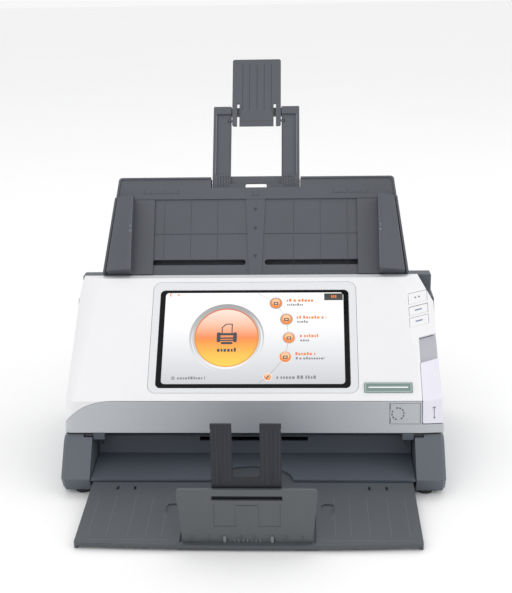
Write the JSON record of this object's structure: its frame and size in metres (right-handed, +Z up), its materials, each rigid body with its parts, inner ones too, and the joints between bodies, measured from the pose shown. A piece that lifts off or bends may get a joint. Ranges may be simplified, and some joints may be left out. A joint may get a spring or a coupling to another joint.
{
  "type": "sheet fed document scanner",
  "caption": "Desktop sheet fed document scanner with a tilted touch display, an upright paper tray with sliding side guides and a pull-out extension, and a stacking tray with a folding stop.",
  "frame": {"origin": "on the desk, at the middle of the whole object's footprint as stored", "axes": "+X to the object's own right as its user sees it from the front, +Y from the front to the back, +Z up"},
  "size_m": [0.316, 0.3262, 0.3311],
  "materials": {
    "white_plastic": "satin",
    "cool_white_plastic": "satin",
    "silver_plastic": "satin metallic lacquer",
    "pale_grey_plastic": "satin",
    "grey_plastic": "fine texture",
    "deep_grey_plastic": "fine texture",
    "stop_plastic": "satin",
    "black_plastic": "satin",
    "black_rubber": "matt",
    "grey_rubber": "matt",
    "steel": "brushed",
    "aluminium": "brushed",
    "brass": "machined",
    "board_green": "solder mask",
    "badge_metal": "satin",
    "screen_glass": "polished",
    "sensor_glass": "polished"
  },
  "bodies": {
    "base": {"bottom_pan": "deep_grey_plastic", "left_side_housing": "grey_plastic", "right_side_housing": "grey_plastic", "left_hinge_pin": "steel", "right_hinge_pin": "steel", "output_deck": "deep_grey_plastic", "rear_housing": "grey_plastic", "left_tray_bracket": "grey_plastic", "right_tray_bracket": "grey_plastic", "main_board": "board_green", "power_jack": "black_plastic", "port_block": "steel", "front_left_foot": "black_rubber", "front_right_foot": "black_rubber", "rear_left_foot": "black_rubber", "rear_right_foot": "black_rubber", "feed_plate": "deep_grey_plastic", "lower_image_sensor": "black_plastic", "lower_sensor_glass": "sensor_glass", "left_chassis_plate": "steel", "right_chassis_plate": "steel", "drive_motor": "steel", "drive_belt": "black_rubber", "paper_tray": "grey_plastic", "tray_back_cover": "grey_plastic"},
    "cover": {"front_cover": "white_plastic", "lip_trim": "silver_plastic", "icon_panel": "silver_plastic", "side_strip": "cool_white_plastic", "display_bezel": "pale_grey_plastic", "display_glass": "screen_glass", "display_panel": "aluminium", "badge_plate": "badge_metal", "cover_guide_plate": "deep_grey_plastic", "upper_image_sensor": "black_plastic", "upper_sensor_glass": "sensor_glass", "separation_pad": "black_rubber"},
    "scan_button": {"scan_key": "white_plastic"},
    "mode_button": {"mode_key": "white_plastic"},
    "send_button": {"send_key": "white_plastic"},
    "release_lever": {"cover_release_lever": "cool_white_plastic"},
    "feed_idler_roller": {"feed_idler": "black_rubber"},
    "exit_idler_roller": {"exit_idler": "black_rubber"},
    "pick_roller": {"pick_shaft": "steel", "pick_tyre": "grey_rubber"},
    "feed_roller": {"feed_shaft": "steel", "feed_tyre": "grey_rubber"},
    "exit_roller": {"exit_shaft": "steel", "exit_tyre": "grey_rubber"},
    "motor_shaft": {"motor_pulley": "brass"},
    "guide_right": {"right_guide": "grey_plastic"},
    "guide_left": {"left_guide": "grey_plastic"},
    "pinion": {"guide_pinion": "white_plastic"},
    "extension": {"extension_frame": "grey_plastic"},
    "flap": {"extension_flap": "grey_plastic"},
    "stacker": {"output_tray": "grey_plastic"},
    "stop": {"stop_panel": "stop_plastic"},
    "fork": {"stop_fork": "deep_grey_plastic"}
  },
  "joints": [
    {"name": "cover_open", "type": "hinge", "parent": "base", "child": "cover", "pos_m": [0, -0.05266, 0.0445], "axis": [1, 0, 0], "range_deg": [0, 85]},
    {"name": "scan_press", "type": "slide", "parent": "cover", "child": "scan_button", "axis": [0, -0.704, 0.7102], "range_m": [-0.001, 0], "stiffness_N_per_m": 300, "springref_m": 0.001},
    {"name": "mode_press", "type": "slide", "parent": "cover", "child": "mode_button", "axis": [0, -0.704, 0.7102], "range_m": [-0.001, 0], "stiffness_N_per_m": 300, "springref_m": 0.001},
    {"name": "send_press", "type": "slide", "parent": "cover", "child": "send_button", "axis": [0, -0.704, 0.7102], "range_m": [-0.001, 0], "stiffness_N_per_m": 300, "springref_m": 0.001},
    {"name": "lever_press", "type": "slide", "parent": "cover", "child": "release_lever", "axis": [0, -0.704, 0.7102], "range_m": [-0.002, 0], "stiffness_N_per_m": 300, "springref_m": 0.001},
    {"name": "feed_spin", "type": "hinge", "parent": "base", "child": "feed_roller", "pos_m": [0, 0.02372, 0.10494], "axis": [1, 0, 0], "continuous": true},
    {"name": "pick_spin", "type": "hinge", "parent": "base", "child": "pick_roller", "pos_m": [0, 0.03447, 0.12181], "axis": [1, 0, 0], "continuous": true},
    {"name": "exit_spin", "type": "hinge", "parent": "base", "child": "exit_roller", "pos_m": [0, -0.00156, 0.06525], "axis": [1, 0, 0], "continuous": true},
    {"name": "motor_spin", "type": "hinge", "parent": "base", "child": "motor_shaft", "pos_m": [0, 0.05154, 0.06857], "axis": [1, 0, 0], "continuous": true},
    {"name": "feed_idler_spin", "type": "hinge", "parent": "cover", "child": "feed_idler_roller", "pos_m": [0, 0.01209, 0.11236], "axis": [1, 0, 0], "continuous": true},
    {"name": "exit_idler_spin", "type": "hinge", "parent": "cover", "child": "exit_idler_roller", "pos_m": [0, -0.0132, 0.07266], "axis": [1, 0, 0], "continuous": true},
    {"name": "right_guide_slide", "type": "slide", "parent": "base", "child": "guide_right", "axis": [1, 0, 0], "range_m": [-0.078, 0]},
    {"name": "left_guide_slide", "type": "slide", "parent": "base", "child": "guide_left", "axis": [1, 0, 0], "range_m": [0, 0.078]},
    {"name": "pinion_spin", "type": "hinge", "parent": "base", "child": "pinion", "pos_m": [0, 0.05483, 0.16214], "axis": [0, -0.8434, 0.5373], "range_deg": [-750, 0]},
    {"name": "extension_slide", "type": "slide", "parent": "base", "child": "extension", "axis": [0, 0.5373, 0.8434], "range_m": [-0.054, 0]},
    {"name": "flap_fold", "type": "hinge", "parent": "extension", "child": "flap", "pos_m": [0, 0.12894, 0.27837], "axis": [-1, 0, 0], "range_deg": [-180, 0]},
    {"name": "stacker_slide", "type": "slide", "parent": "base", "child": "stacker", "axis": [0, -0.9959, -0.0906], "range_m": [-0.07, 0]},
    {"name": "stop_fold", "type": "hinge", "parent": "stacker", "child": "stop", "pos_m": [0, -0.15716, 0.0042], "axis": [-1, 0, 0], "range_deg": [0, 78]},
    {"name": "fork_slide", "type": "slide", "parent": "stop", "child": "fork", "axis": [0, 0, 1], "range_m": [-0.025, 0]}
  ],
  "couplings": [
    {"joint": "pick_spin", "follows": "feed_spin", "ratio": 1},
    {"joint": "exit_spin", "follows": "feed_spin", "ratio": 1},
    {"joint": "motor_spin", "follows": "feed_spin", "ratio": 1.3333},
    {"joint": "feed_idler_spin", "follows": "feed_spin", "ratio": -2},
    {"joint": "exit_idler_spin", "follows": "feed_spin", "ratio": -2},
    {"joint": "left_guide_slide", "follows": "right_guide_slide", "ratio": -1},
    {"joint": "pinion_spin", "follows": "right_guide_slide", "rad_per_m": 166.67}
  ]
}
